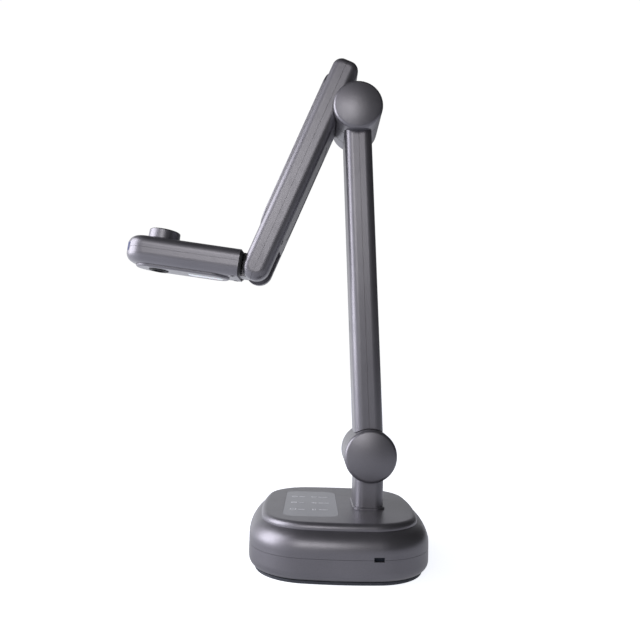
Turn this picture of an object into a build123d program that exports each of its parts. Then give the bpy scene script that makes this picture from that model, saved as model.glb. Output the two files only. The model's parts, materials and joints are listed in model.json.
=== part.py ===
import math
import os

from build123d import *

os.makedirs("parts", exist_ok=True)

# ---- Driving dimensions, in mm and degrees -------------------------------------------------------

# Base: a cushion-shaped slab with a raised plateau.
base_half_length = 67.5     # along X, at the waist
base_half_width = 74.5      # along Y
base_side_radius = 260.0    # the sides bulge slightly
base_corner_radius = 42.4
base_bottom_z = 2.2         # underside of the lower shell, above the table
waist_z = 17.8              # parting line between the two base shells
shoulder_z = 35.3
bottom_edge_radius = 6.9
shoulder_edge_radius = 13.5
plateau_inset = 8.4
plateau_corner_radius = 36.0
plateau_z = 38.9
plateau_edge_radius = 3.9
base_wall = 2.6
parting_gap = 0.16          # fine line between two shells of one body

# Arms: all three bars share one width and one thickness.
arm_y = 0.0                 # mid-plane of the neck, the arms and the head
arm_width = 41.0
arm_thickness = 22.0
arm_edge_radius = 6.5
arm_wall = 2.2
arm_side_wall = 3.6         # thicker, so that the hollow clears the rounded edges

# Hinge barrels at the lower joint and at the elbow.
barrel_radius = 20.0
barrel_gap = 0.5            # radial gap between a barrel and the bar that folds around it
knuckle_half = 9.5          # half width of a centre knuckle
fork_inner = 9.9            # inner faces of the two outer barrel segments
cap_shoulder = 5.9          # length of a barrel end cap up to its rim
cap_crown = 3.0
cap_rim_radius = 3.2
axle_radius = 4.0
running_gap = 0.05
eye_radius = 9.0

# Places of the hinge axes, all of them parallel to Y.
neck_x = 22.9
lower_joint_z = 79.0
lower_arm_tilt = 3.4        # the top leans towards -X
joint_spacing = 276.4
elbow_offset = 23.0         # elbow axis to the upper arm's mid-plane
upper_arm_tilt = 21.7       # the top leans towards +X
upper_arm_stub = 36.0       # the bar runs on past the elbow
wrist_distance = 151.0      # elbow to wrist, along the upper arm
head_tilt = 6.5             # the nose points slightly up

# Head, in its own plane: x runs from the nose to the wrist axis, y is the head's thickness.
head_back = -13.6
head_nose = -106.0
head_top = 12.6
head_bottom = -9.8
head_seam = 2.2
head_nose_radius = 16.0
head_top_radius = 8.0
head_bottom_radius = 8.0
head_wall = 2.0
turret_x = -80.0
turret_radius = 7.8
knob_radius = 12.6
knob_height = 7.8
led_x = -41.0
wrist_knuckle_half = 9.0
wrist_slot_half = 9.3
wrist_pin_radius = 2.5

half_width = arm_width / 2
half_thickness = arm_thickness / 2


def side_plane(x, z, lean):
    """Upright plane through (x, z) facing -Y, with its own y axis leaning towards +X by `lean`."""
    angle = math.radians(lean)
    across = (math.cos(angle), 0, -math.sin(angle))
    return Plane(origin=(x, arm_y, z), x_dir=across, z_dir=(0, -1, 0))


lower_side = side_plane(neck_x, lower_joint_z, -lower_arm_tilt)
elbow_point = lower_side.from_local_coords(Vector(0, joint_spacing, 0))
elbow_side = Plane(origin=elbow_point, x_dir=lower_side.x_dir, z_dir=lower_side.z_dir)
upper_side = side_plane(elbow_point.X, elbow_point.Z, upper_arm_tilt)
wrist_point = upper_side.from_local_coords(Vector(-elbow_offset, -wrist_distance, 0))
head_side = side_plane(wrist_point.X, wrist_point.Z, head_tilt)
neck_side = side_plane(neck_x, 0, 0)


def head_level(height):
    """Plane parallel to the head's flat faces, `height` above the wrist axis, facing away from it."""
    origin = head_side.from_local_coords(Vector(0, height, 0))
    return Plane(origin=origin, x_dir=head_side.x_dir, z_dir=head_side.y_dir)


def arm_face(plane, across, along, outward):
    """Plane on a bar's broad face: x runs along Y, y runs up the bar, facing `outward` across it."""
    origin = plane.from_local_coords(Vector(across, along, 0))
    return Plane(origin=origin, x_dir=(0, -outward, 0), z_dir=plane.x_dir * outward)


def save(builder, name):
    builder.part.label = name
    export_step(builder.part, f"parts/{name}.step")


# ---- Base ----------------------------------------------------------------------------------------

def cushion_slab(inset, corner_radius, low, high, mode=Mode.ADD):
    """Slab with slightly bulging sides and large round corners, `inset` inside the base's outline."""
    reach_x = base_side_radius - base_half_length + inset
    reach_y = base_side_radius - base_half_width + inset
    with BuildSketch(Plane.XY.offset(low)) as outline:
        with Locations((reach_x, 0)):
            Circle(base_side_radius)
        for centre in ((-reach_x, 0), (0, reach_y), (0, -reach_y)):
            with Locations(centre):
                Circle(base_side_radius, mode=Mode.INTERSECT)
        fillet(outline.vertices(), radius=corner_radius)
    extrude(outline.sketch, amount=high - low, mode=mode)


def rim_fillet(face, radius):
    """Round the outer edges of one flat face of the current part."""
    fillet(face.outer_wire().edges(), radius=radius)


with BuildPart() as base_form:
    cushion_slab(0, base_corner_radius, base_bottom_z, shoulder_z)
    rim_fillet(base_form.faces().sort_by(Axis.Z)[0], bottom_edge_radius)
    rim_fillet(base_form.faces().sort_by(Axis.Z)[-1], shoulder_edge_radius)
    cushion_slab(plateau_inset, plateau_corner_radius, shoulder_z - 3, plateau_z)
    rim_fillet(base_form.faces().sort_by(Axis.Z)[-1], plateau_edge_radius)

room_floor = base_bottom_z + base_wall
room_ceiling = shoulder_z - base_wall
plateau_ceiling = plateau_z - base_wall
with BuildPart() as base_room:
    cushion_slab(base_wall, base_corner_radius - base_wall, room_floor, room_ceiling)
    rim_fillet(base_room.faces().sort_by(Axis.Z)[0], bottom_edge_radius - base_wall)
    rim_fillet(base_room.faces().sort_by(Axis.Z)[-1], shoulder_edge_radius - base_wall)
    cushion_slab(plateau_inset + base_wall, plateau_corner_radius - base_wall, room_ceiling - 2, plateau_ceiling)

# Steel-lined slot for a security lock, cut across the parting line in the front wall.
lock_x = 25.4
lock_z = 18.2
lock_width = 7.0
lock_height = 3.0
with BuildPart() as lock_opening:
    with BuildSketch(Plane.XZ.offset(base_half_width + 2)):
        with Locations((lock_x, lock_z)):
            Rectangle(lock_width, lock_height)
    extrude(amount=-8)

insert_front = base_half_width - base_wall - 3.2
with BuildPart() as lock_slot_insert:
    with BuildSketch(Plane.XZ.offset(insert_front)):
        with Locations((lock_x, lock_z)):
            Rectangle(13, 9)
            Rectangle(lock_width, lock_height, mode=Mode.SUBTRACT)
    extrude(amount=-2)
save(lock_slot_insert, "lock_slot_insert")

# Socket for the data cable, in the middle of the rear wall.
socket_z = 12.8
socket_width = 9.0
socket_height = 3.3
socket_depth = 8.0
socket_face = base_half_width - 1.6
with BuildPart() as usb_socket:
    with BuildSketch(Plane.XZ.offset(-socket_face)):
        with Locations((0, socket_z)):
            SlotOverall(socket_width, socket_height)
            SlotOverall(socket_width - 0.7, socket_height - 0.7, mode=Mode.SUBTRACT)
    extrude(amount=socket_depth)
    with BuildSketch(Plane.XZ.offset(socket_depth - socket_face)):
        with Locations((0, socket_z)):
            SlotOverall(socket_width, socket_height)
    extrude(amount=0.6)
    with BuildSketch(Plane.XZ.offset(socket_depth - socket_face)):
        with Locations((0, socket_z)):
            Rectangle(6.6, 0.7)
    extrude(amount=-6.5)
save(usb_socket, "usb_socket")

# Bosses that the four base screws bite into, and the screws.
screw_reach = 44.0
boss_radius = 4.0
boss_low = room_floor
screw_radius = 1.5
screw_head_radius = 2.9
screw_head_height = 1.8
screw_top = 20.0
with BuildPart() as base_screws:
    with BuildSketch(Plane.XY.offset(base_bottom_z + 0.2)):
        with GridLocations(2 * screw_reach, 2 * screw_reach, 2, 2):
            Circle(screw_head_radius)
    extrude(amount=screw_head_height)
    with BuildSketch(Plane.XY.offset(base_bottom_z + 0.2 + screw_head_height)):
        with GridLocations(2 * screw_reach, 2 * screw_reach, 2, 2):
            Circle(screw_radius)
    extrude(amount=screw_top - base_bottom_z - screw_head_height)
save(base_screws, "base_screws")

# Touch panel let into the plateau, left of the neck, with its sensor board underneath.
panel_x = -21.3
panel_y = -2.3
panel_width = 40.5
panel_length = 88.0
panel_corner = 8.0
panel_sink = 0.7
panel_gap = 0.12
with BuildPart() as touch_panel:
    with BuildSketch(Plane.XY.offset(plateau_z - panel_sink)):
        with Locations((panel_x, panel_y)):
            RectangleRounded(panel_width, panel_length, panel_corner)
    extrude(amount=panel_sink)
save(touch_panel, "touch_panel")

with BuildPart() as touch_board:
    with BuildSketch(Plane.XY.offset(plateau_ceiling - 1.2)):
        with Locations((panel_x, panel_y)):
            RectangleRounded(panel_width - 4, panel_length - 6, 3)
    extrude(amount=1.2)
save(touch_board, "touch_board")

# The neck stands on the plateau and is held by two bolts from inside.
neck_bolt_radius = 2.0
neck_bolt_spacing = 24.0
neck_bolt_top = 54.0
with BuildPart() as neck_bolts:
    with BuildSketch(Plane.XY.offset(plateau_ceiling - 3)):
        with Locations((neck_x, arm_y - neck_bolt_spacing / 2), (neck_x, arm_y + neck_bolt_spacing / 2)):
            RegularPolygon(4.0, 6)
    extrude(amount=3)
    with BuildSketch(Plane.XY.offset(plateau_ceiling)):
        with Locations((neck_x, arm_y - neck_bolt_spacing / 2), (neck_x, arm_y + neck_bolt_spacing / 2)):
            Circle(neck_bolt_radius)
    extrude(amount=neck_bolt_top - plateau_ceiling)
save(neck_bolts, "neck_bolts")

with BuildPart() as base_upper_shell:
    add(base_form.part)
    add(base_room.part, mode=Mode.SUBTRACT)
    split(bisect_by=Plane.XY.offset(waist_z + parting_gap / 2), keep=Keep.TOP)
    with BuildSketch(Plane.XY.offset(boss_low)):
        with GridLocations(2 * screw_reach, 2 * screw_reach, 2, 2):
            Circle(boss_radius)
    extrude(amount=plateau_ceiling + 0.5 - boss_low)
    with BuildSketch(Plane.XY.offset(boss_low)):
        with GridLocations(2 * screw_reach, 2 * screw_reach, 2, 2):
            Circle(screw_radius)
    extrude(amount=screw_top + 1 - boss_low, mode=Mode.SUBTRACT)
    with BuildSketch(Plane.XY.offset(plateau_z - panel_sink)):
        with Locations((panel_x, panel_y)):
            RectangleRounded(panel_width + 2 * panel_gap, panel_length + 2 * panel_gap, panel_corner)
    extrude(amount=2, mode=Mode.SUBTRACT)
    with BuildSketch(Plane.XY.offset(plateau_ceiling - 1)):
        with Locations((neck_x, arm_y - neck_bolt_spacing / 2), (neck_x, arm_y + neck_bolt_spacing / 2)):
            Circle(neck_bolt_radius + 0.1)
    extrude(amount=5, mode=Mode.SUBTRACT)
    add(lock_opening.part, mode=Mode.SUBTRACT)
save(base_upper_shell, "base_upper_shell")

with BuildPart() as base_lower_shell:
    add(base_form.part)
    add(base_room.part, mode=Mode.SUBTRACT)
    split(bisect_by=Plane.XY.offset(waist_z - parting_gap / 2), keep=Keep.BOTTOM)
    with BuildSketch(Plane.XY.offset(base_bottom_z)):
        with GridLocations(2 * screw_reach, 2 * screw_reach, 2, 2):
            Circle(screw_head_radius + 0.1)
    extrude(amount=0.2 + screw_head_height, mode=Mode.SUBTRACT)
    with BuildSketch(Plane.XY.offset(base_bottom_z)):
        with GridLocations(2 * screw_reach, 2 * screw_reach, 2, 2):
            Circle(screw_radius + 0.1)
    extrude(amount=base_wall + 1, mode=Mode.SUBTRACT)
    with BuildSketch(Plane.XZ.offset(-base_half_width - 2)):
        with Locations((0, socket_z)):
            SlotOverall(socket_width + 0.2, socket_height + 0.2)
    extrude(amount=8, mode=Mode.SUBTRACT)
    add(lock_opening.part, mode=Mode.SUBTRACT)
save(base_lower_shell, "base_lower_shell")

foot_inset = 4.5
foot_edge_radius = 1.0
with BuildPart() as foot_pad:
    cushion_slab(foot_inset, base_corner_radius - foot_inset, 0, base_bottom_z)
    rim_fillet(foot_pad.faces().sort_by(Axis.Z)[0], foot_edge_radius)
save(foot_pad, "foot_pad")

ballast_side = 78.0
ballast_height = 5.0
with BuildPart() as ballast_plate:
    with BuildSketch(Plane.XY.offset(room_floor)):
        RectangleRounded(ballast_side, ballast_side, 6)
    extrude(amount=ballast_height)
save(ballast_plate, "ballast_plate")

board_z = room_floor + ballast_height + 5
with BuildPart() as main_board:
    with BuildSketch(Plane.XY.offset(board_z)):
        RectangleRounded(70, 60, 3)
    extrude(amount=1.6)
    with BuildSketch(Plane.XY.offset(board_z)):
        with GridLocations(60, 50, 2, 2):
            Circle(2.5)
    extrude(amount=-5)
    with BuildSketch(Plane.XY.offset(board_z + 1.6)):
        Rectangle(16, 16)
        with Locations((22, 12)):
            Rectangle(9, 12)
    extrude(amount=2)
save(main_board, "main_board")

collar_lip = 1.3
collar_height = 1.6
with BuildPart() as neck_collar:
    with BuildSketch(Plane.XY.offset(plateau_z)):
        with Locations((neck_x, arm_y)):
            RectangleRounded(arm_thickness + 2 * collar_lip, arm_width + 2 * collar_lip, arm_edge_radius + 1)
    extrude(amount=collar_height)
    chamfer(neck_collar.faces().sort_by(Axis.Z)[-1].edges(), length=0.7)
    with BuildSketch(Plane.XY.offset(plateau_z)):
        with Locations((neck_x, arm_y)):
            RectangleRounded(arm_thickness, arm_width, arm_edge_radius)
    extrude(amount=collar_height, mode=Mode.SUBTRACT)
save(neck_collar, "neck_collar")

with BuildPart() as neck_post:
    with BuildSketch(Plane.XY.offset(plateau_z)):
        with Locations((neck_x, arm_y)):
            RectangleRounded(arm_thickness, arm_width, arm_edge_radius)
    extrude(amount=lower_joint_z - plateau_z)
    with BuildSketch(neck_side):
        with Locations((0, lower_joint_z)):
            Circle(barrel_radius)
    extrude(amount=half_width, both=True)
    with BuildSketch(neck_side):
        with Locations((0, lower_joint_z)):
            Circle(barrel_radius + barrel_gap)
    extrude(amount=fork_inner, both=True, mode=Mode.SUBTRACT)
    with BuildSketch(neck_side):
        with Locations((0, lower_joint_z)):
            Circle(axle_radius)
    extrude(amount=half_width, both=True, mode=Mode.SUBTRACT)
    with BuildSketch(Plane.XY.offset(plateau_z)):
        with Locations((neck_x, arm_y - neck_bolt_spacing / 2), (neck_x, arm_y + neck_bolt_spacing / 2)):
            Circle(neck_bolt_radius)
    extrude(amount=neck_bolt_top - plateau_z, mode=Mode.SUBTRACT)
save(neck_post, "neck_post")


# ---- Hinge barrels: axle, washers, nut and two domed caps, the same at both joints ---------------

head_length = 2.2           # axle head
washer_thickness = 0.7
nut_height = 3.0
pocket_radius = 8.8
pocket_depth = 5.4
dome_radius = (barrel_radius**2 + cap_crown**2) / (2 * cap_crown)


def axle(side):
    """Bolt across the whole barrel, with its head behind the front cap."""
    with BuildPart() as bolt:
        with BuildSketch(side):
            Circle(axle_radius)
        extrude(amount=half_width, both=True)
        with BuildSketch(side.offset(half_width)):
            Circle(7.5)
        extrude(amount=head_length)
        with BuildSketch(side.offset(-half_width)):
            Circle(axle_radius)
        extrude(amount=-2 * washer_thickness - nut_height)
    return bolt


def washers(side):
    """Two friction discs under the nut."""
    with BuildPart() as discs:
        for layer in range(2):
            with BuildSketch(side.offset(-half_width - layer * washer_thickness - 0.04 * layer)):
                Circle(8.0)
                Circle(axle_radius + running_gap, mode=Mode.SUBTRACT)
            extrude(amount=-washer_thickness + 0.04)
    return discs


def nut(side):
    with BuildPart() as hexagon:
        with BuildSketch(side.offset(-half_width - 2 * washer_thickness - 0.04)):
            RegularPolygon(7.0, 6)
            Circle(axle_radius, mode=Mode.SUBTRACT)
        extrude(amount=-nut_height)
    return hexagon


def barrel_cap(side, outward):
    """Domed end cap with a rounded rim and a pocket for the axle's head or nut."""
    height = cap_shoulder + cap_crown
    foot = side.offset(outward * half_width)
    dome_centre = side.from_local_coords(Vector(0, 0, outward * (half_width + height - dome_radius)))
    away = Axis(foot.origin, side.z_dir * outward)
    with BuildPart() as cap:
        with BuildSketch(foot):
            Circle(barrel_radius)
        extrude(amount=outward * height)
        with Locations(dome_centre):
            Sphere(dome_radius, mode=Mode.INTERSECT)
        fillet(cap.faces().sort_by(away)[-1].edges(), radius=cap_rim_radius)
        with BuildSketch(foot):
            Circle(pocket_radius)
        extrude(amount=outward * pocket_depth, mode=Mode.SUBTRACT)
    return cap


for joint_name, joint_side in (("lower", side_plane(neck_x, lower_joint_z, 0)), ("elbow", elbow_side)):
    save(axle(joint_side), f"{joint_name}_axle")
    save(washers(joint_side), f"{joint_name}_washers")
    save(nut(joint_side), f"{joint_name}_nut")
    save(barrel_cap(joint_side, 1), f"{joint_name}_front_cap")
    save(barrel_cap(joint_side, -1), f"{joint_name}_back_cap")


# ---- Lower arm -----------------------------------------------------------------------------------

spine_half = 6.0            # half of the steel spine's width
spine_thickness = 6.0
fork_tine_inner = 12.0
fork_tine_outer = 17.0
fork_root = joint_spacing - 25
room_margin = 27.0          # the hollow stops this far from each hinge axis

with BuildPart() as lower_arm_spine:
    with BuildSketch(lower_side):
        Circle(eye_radius)
        with Locations((0, fork_root / 2)):
            Rectangle(spine_thickness, fork_root)
    extrude(amount=spine_half, both=True)
    with BuildSketch(lower_side):
        Circle(axle_radius + running_gap)
    extrude(amount=spine_half, both=True, mode=Mode.SUBTRACT)
    with BuildSketch(lower_side):
        with Locations((0, fork_root)):
            Rectangle(spine_thickness, 6)
    extrude(amount=fork_tine_outer, both=True)
    for tine_low in (fork_tine_inner, -fork_tine_outer):
        with BuildSketch(elbow_side.offset(tine_low)):
            Circle(eye_radius)
            with Locations((0, -(joint_spacing - fork_root) / 2)):
                Rectangle(spine_thickness, joint_spacing - fork_root)
            Circle(axle_radius, mode=Mode.SUBTRACT)
        extrude(amount=fork_tine_outer - fork_tine_inner)
save(lower_arm_spine, "lower_arm_spine")

plug_along = 101.0
plug_length = 10.0
plug_width = 3.4
plug_depth = 1.2
left_face = arm_face(lower_side, -half_thickness, plug_along, -1)
with BuildPart() as lower_arm_plug:
    with BuildSketch(left_face.offset(-plug_depth)):
        SlotOverall(plug_length, plug_width, rotation=90)
    extrude(amount=plug_depth - 0.4)
save(lower_arm_plug, "lower_arm_plug")

with BuildPart() as lower_arm_form:
    with BuildSketch(lower_side):
        with Locations((0, joint_spacing / 2)):
            Rectangle(arm_thickness, joint_spacing)
    extrude(amount=half_width, both=True)
    fillet(lower_arm_form.edges().filter_by(Axis(lower_side.origin, lower_side.y_dir)), radius=arm_edge_radius)
    with BuildSketch(lower_side):
        Circle(barrel_radius + barrel_gap)
    extrude(amount=half_width, both=True, mode=Mode.SUBTRACT)
    with BuildSketch(lower_side):
        Circle(barrel_radius)
        with Locations((0, barrel_radius / 2 + 2)):
            Rectangle(arm_thickness, barrel_radius + 4)
    extrude(amount=knuckle_half, both=True)
    with BuildSketch(elbow_side):
        Circle(barrel_radius)
    extrude(amount=half_width, both=True)
    with BuildSketch(elbow_side):
        Circle(barrel_radius + barrel_gap)
    extrude(amount=fork_inner, both=True, mode=Mode.SUBTRACT)
    with BuildSketch(elbow_side):
        Circle(axle_radius)
    extrude(amount=half_width, both=True, mode=Mode.SUBTRACT)
    with BuildSketch(lower_side):
        Circle(axle_radius + 0.5)
    extrude(amount=half_width, both=True, mode=Mode.SUBTRACT)
    with BuildSketch(lower_side):
        with Locations((0, joint_spacing / 2)):
            RectangleRounded(arm_thickness - 2 * arm_wall, joint_spacing - 2 * room_margin, 2)
    extrude(amount=half_width - arm_side_wall, both=True, mode=Mode.SUBTRACT)
    with BuildSketch(lower_side):
        Circle(eye_radius)
        with Locations((0, fork_root / 2)):
            Rectangle(spine_thickness, fork_root)
    extrude(amount=spine_half, both=True, mode=Mode.SUBTRACT)
    with BuildSketch(lower_side):
        with Locations((0, fork_root)):
            Rectangle(spine_thickness, 6)
    extrude(amount=fork_tine_outer, both=True, mode=Mode.SUBTRACT)
    for tine_low in (fork_tine_inner, -fork_tine_outer):
        with BuildSketch(elbow_side.offset(tine_low)):
            Circle(eye_radius)
            with Locations((0, -(joint_spacing - fork_root) / 2)):
                Rectangle(spine_thickness, joint_spacing - fork_root)
        extrude(amount=fork_tine_outer - fork_tine_inner, mode=Mode.SUBTRACT)
    with BuildSketch(left_face.offset(-plug_depth)):
        SlotOverall(plug_length, plug_width, rotation=90)
    extrude(amount=plug_depth + 1, mode=Mode.SUBTRACT)

lower_parting = Plane(origin=lower_side.origin, x_dir=(0, 1, 0), z_dir=lower_side.x_dir)
with BuildPart() as lower_arm_right_shell:
    add(lower_arm_form.part)
    split(bisect_by=lower_parting.offset(parting_gap / 2), keep=Keep.TOP)
save(lower_arm_right_shell, "lower_arm_right_shell")

with BuildPart() as lower_arm_left_shell:
    add(lower_arm_form.part)
    split(bisect_by=lower_parting.offset(-parting_gap / 2), keep=Keep.BOTTOM)
save(lower_arm_left_shell, "lower_arm_left_shell")


# ---- Upper arm -----------------------------------------------------------------------------------

middle = -elbow_offset                      # the bar's mid-plane
outer_face = middle - half_thickness
inner_face = middle + half_thickness
stub_corner = 8.0
core_half = 7.0
core_thickness = 6.0
core_top = 8.0
core_low = -60.0
upper_room_top = -24.0
upper_room_low = -(wrist_distance - 24.0)
wrist_slot_top = -(wrist_distance - 20.0)

with BuildPart() as upper_arm_core:
    with BuildSketch(upper_side):
        Circle(eye_radius)
        with Locations((middle / 2, 0)):
            Rectangle(elbow_offset, 10)
        with Locations((middle, (core_top + core_low) / 2)):
            Rectangle(core_thickness, core_top - core_low)
    extrude(amount=core_half, both=True)
    with BuildSketch(upper_side):
        Circle(axle_radius + running_gap)
    extrude(amount=core_half, both=True, mode=Mode.SUBTRACT)
save(upper_arm_core, "upper_arm_core")

cover_top = -34.0
cover_low = -118.6
cover_width = 24.0
cover_depth = 1.4
inner_plane = arm_face(upper_side, inner_face, (cover_top + cover_low) / 2, 1)
with BuildPart() as inset_cover:
    with BuildSketch(inner_plane.offset(-cover_depth)):
        SlotOverall(cover_top - cover_low, cover_width, rotation=90)
    extrude(amount=cover_depth - 0.3)
save(inset_cover, "upper_arm_inset_cover")

arm_screw_along = -124.5
arm_screw_reach = 13.0
arm_screw_plane = arm_face(upper_side, inner_face, arm_screw_along, 1)
with BuildPart() as upper_arm_screws:
    with BuildSketch(arm_screw_plane.offset(-1.7)):
        with Locations((-arm_screw_reach, 0), (arm_screw_reach, 0)):
            Circle(2.0)
    extrude(amount=1.4)
    with BuildSketch(arm_screw_plane.offset(-1.7)):
        with Locations((-arm_screw_reach, 0), (arm_screw_reach, 0)):
            Circle(1.0)
    extrude(amount=-12)
save(upper_arm_screws, "upper_arm_screws")

with BuildPart() as upper_arm_form:
    with BuildSketch(upper_side) as bar_outline:
        with Locations((middle, (upper_arm_stub - wrist_distance) / 2)):
            Rectangle(arm_thickness, upper_arm_stub + wrist_distance)
        fillet(bar_outline.vertices().sort_by(Axis.Y)[-2:], radius=stub_corner)
        with Locations((middle, -wrist_distance)):
            Circle(half_thickness)
    extrude(amount=half_width, both=True)
    fillet(
        upper_arm_form.faces().sort_by(Axis.Y)[0].edges() + upper_arm_form.faces().sort_by(Axis.Y)[-1].edges(),
        radius=arm_edge_radius,
    )
    with BuildSketch(upper_side):
        Circle(barrel_radius + barrel_gap)
    extrude(amount=half_width, both=True, mode=Mode.SUBTRACT)
    with BuildSketch(upper_side):
        Circle(barrel_radius)
        with Locations((middle, 0)):
            Rectangle(arm_thickness - 2, 2 * barrel_radius)
    extrude(amount=knuckle_half, both=True)
    with BuildSketch(upper_side):
        Circle(eye_radius)
        with Locations((middle / 2, 0)):
            Rectangle(elbow_offset, 10)
        with Locations((middle, (core_top + core_low) / 2)):
            Rectangle(core_thickness, core_top - core_low)
    extrude(amount=core_half, both=True, mode=Mode.SUBTRACT)
    with BuildSketch(upper_side):
        Circle(axle_radius + 0.5)
    extrude(amount=half_width, both=True, mode=Mode.SUBTRACT)
    with BuildSketch(upper_side):
        with Locations((middle, (upper_room_top + upper_room_low) / 2)):
            RectangleRounded(arm_thickness - 2 * arm_wall, upper_room_top - upper_room_low, 2)
    extrude(amount=half_width - arm_side_wall, both=True, mode=Mode.SUBTRACT)
    with BuildSketch(upper_side):
        with Locations((middle, wrist_slot_top - half_thickness - 10)):
            Rectangle(arm_thickness + 2, 2 * half_thickness + 20)
    extrude(amount=wrist_slot_half, both=True, mode=Mode.SUBTRACT)
    with BuildSketch(upper_side):
        with Locations((middle, -wrist_distance)):
            Circle(wrist_pin_radius)
    extrude(amount=17, both=True, mode=Mode.SUBTRACT)
    with BuildSketch(inner_plane.offset(-cover_depth)):
        SlotOverall(cover_top - cover_low + 0.4, cover_width + 0.4, rotation=90)
    extrude(amount=cover_depth + 1, mode=Mode.SUBTRACT)
    with BuildSketch(arm_screw_plane.offset(-1.7)):
        with Locations((-arm_screw_reach, 0), (arm_screw_reach, 0)):
            Circle(2.1)
    extrude(amount=3, mode=Mode.SUBTRACT)
    with BuildSketch(arm_screw_plane.offset(-1.7)):
        with Locations((-arm_screw_reach, 0), (arm_screw_reach, 0)):
            Circle(1.0)
    extrude(amount=-12, mode=Mode.SUBTRACT)

upper_parting = Plane(
    origin=upper_side.from_local_coords(Vector(middle, 0, 0)), x_dir=(0, 1, 0), z_dir=upper_side.x_dir
)
with BuildPart() as upper_arm_inner_shell:
    add(upper_arm_form.part)
    split(bisect_by=upper_parting.offset(parting_gap / 2), keep=Keep.TOP)
save(upper_arm_inner_shell, "upper_arm_inner_shell")

with BuildPart() as upper_arm_outer_shell:
    add(upper_arm_form.part)
    split(bisect_by=upper_parting.offset(-parting_gap / 2), keep=Keep.BOTTOM)
save(upper_arm_outer_shell, "upper_arm_outer_shell")

panel_top = 25.0
panel_low = -118.0
back_panel_width = 29.0
back_panel_height = 1.9
outer_plane = arm_face(upper_side, outer_face, (panel_top + panel_low) / 2, -1)
with BuildPart() as upper_arm_back_panel:
    with BuildSketch(outer_plane):
        RectangleRounded(back_panel_width, panel_top - panel_low, back_panel_width / 2 - 0.3)
    extrude(amount=back_panel_height)
    fillet(upper_arm_back_panel.faces().sort_by(Axis(outer_plane.origin, outer_plane.z_dir))[-1].edges(), radius=1.4)
save(upper_arm_back_panel, "upper_arm_back_panel")

with BuildPart() as wrist_pin:
    with BuildSketch(Plane(origin=wrist_point, x_dir=upper_side.x_dir, z_dir=upper_side.z_dir)):
        Circle(wrist_pin_radius)
    extrude(amount=17, both=True)
save(wrist_pin, "wrist_pin")


# ---- Head ----------------------------------------------------------------------------------------

head_up = Axis(head_side.origin, head_side.y_dir)
head_along = Axis(head_side.origin, head_side.x_dir)
bottom_level = head_level(head_bottom)


def head_plan(level, inset, back):
    """The head's plan at one level: square at the back, round corners at the nose."""
    nose = head_nose + inset
    with BuildSketch(level) as outline:
        with Locations(((nose + back) / 2, 0)):
            Rectangle(back - nose, arm_width - 2 * inset)
        fillet(outline.vertices().sort_by(Axis.X)[:2], radius=head_nose_radius - inset)
    return outline.sketch


def head_block(inset, back, low, high, low_radius, high_radius):
    with BuildPart() as block:
        extrude(head_plan(head_level(low), inset, back), amount=high - low)
        fillet(block.faces().sort_by(head_up)[0].edges().sort_by(head_along)[:-1], radius=low_radius)
        fillet(block.faces().sort_by(head_up)[-1].edges().sort_by(head_along)[:-1], radius=high_radius)
    return block


head_form = head_block(0, head_back, head_bottom, head_top, head_bottom_radius, head_top_radius)
head_room = head_block(
    head_wall, head_back + 1, head_bottom + head_wall, head_top - head_wall,
    head_bottom_radius - head_wall, head_top_radius - head_wall,
)

# Window let into the nose, on the parting line.
window_centre = head_seam
window_width = 25.0
window_height = 6.6
window_depth = 1.7
nose_plane = Plane(
    origin=head_side.from_local_coords(Vector(head_nose - 2, window_centre, 0)),
    x_dir=(0, 1, 0),
    z_dir=head_side.x_dir,
)
with BuildPart() as nose_window:
    with BuildSketch(nose_plane):
        SlotOverall(window_width, window_height)
    extrude(amount=16)
    extrude(head_plan(bottom_level, 0.5, head_back), amount=head_top - head_bottom, mode=Mode.INTERSECT)
    extrude(head_plan(bottom_level, window_depth, head_back), amount=head_top - head_bottom, mode=Mode.SUBTRACT)
save(nose_window, "nose_window")

with BuildPart() as nose_pocket:
    with BuildSketch(nose_plane):
        SlotOverall(window_width + 0.2, window_height + 0.2)
    extrude(amount=16)
    extrude(head_plan(bottom_level, window_depth, head_back), amount=head_top - head_bottom, mode=Mode.SUBTRACT)

# Diffuser of the lamp, a rounded bar beside the lens.
diffuser_length = 29.0
diffuser_width = 8.6
plate_drop = 2.0
turret_level = head_level(0)

plate_nose = -98.5
plate_back = -22.0
plate_half = 13.2
with BuildPart() as under_plate:
    with BuildSketch(bottom_level):
        with Locations(((plate_nose + plate_back) / 2, 0)):
            RectangleRounded(plate_back - plate_nose, 2 * plate_half, plate_half - 0.2)
        with Locations((turret_x, 0)):
            Circle(turret_radius + 0.3, mode=Mode.SUBTRACT)
        with Locations((led_x, 0)):
            SlotOverall(diffuser_length + 0.2, diffuser_width + 0.2, mode=Mode.SUBTRACT)
    extrude(amount=-plate_drop)
    fillet(under_plate.faces().sort_by(head_up)[0].outer_wire().edges(), radius=1.5)
save(under_plate, "head_under_plate")

with BuildPart() as led_diffuser:
    with BuildSketch(head_level(head_bottom + head_wall)):
        with Locations((led_x, 0)):
            SlotOverall(diffuser_length, diffuser_width)
    extrude(amount=-head_wall - plate_drop - 0.3)
    fillet(led_diffuser.faces().sort_by(head_up)[0].edges(), radius=0.6)
save(led_diffuser, "led_diffuser")

with BuildPart() as led_board:
    with BuildSketch(head_level(head_bottom + head_wall)):
        with Locations((led_x, 0)):
            SlotOverall(diffuser_length + 5, diffuser_width + 5)
    extrude(amount=1.2)
    with BuildSketch(head_level(head_bottom + head_wall + 1.2)):
        with Locations((led_x, 0)):
            Rectangle(18, 6)
    extrude(amount=1.5)
save(led_board, "led_board")

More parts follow.
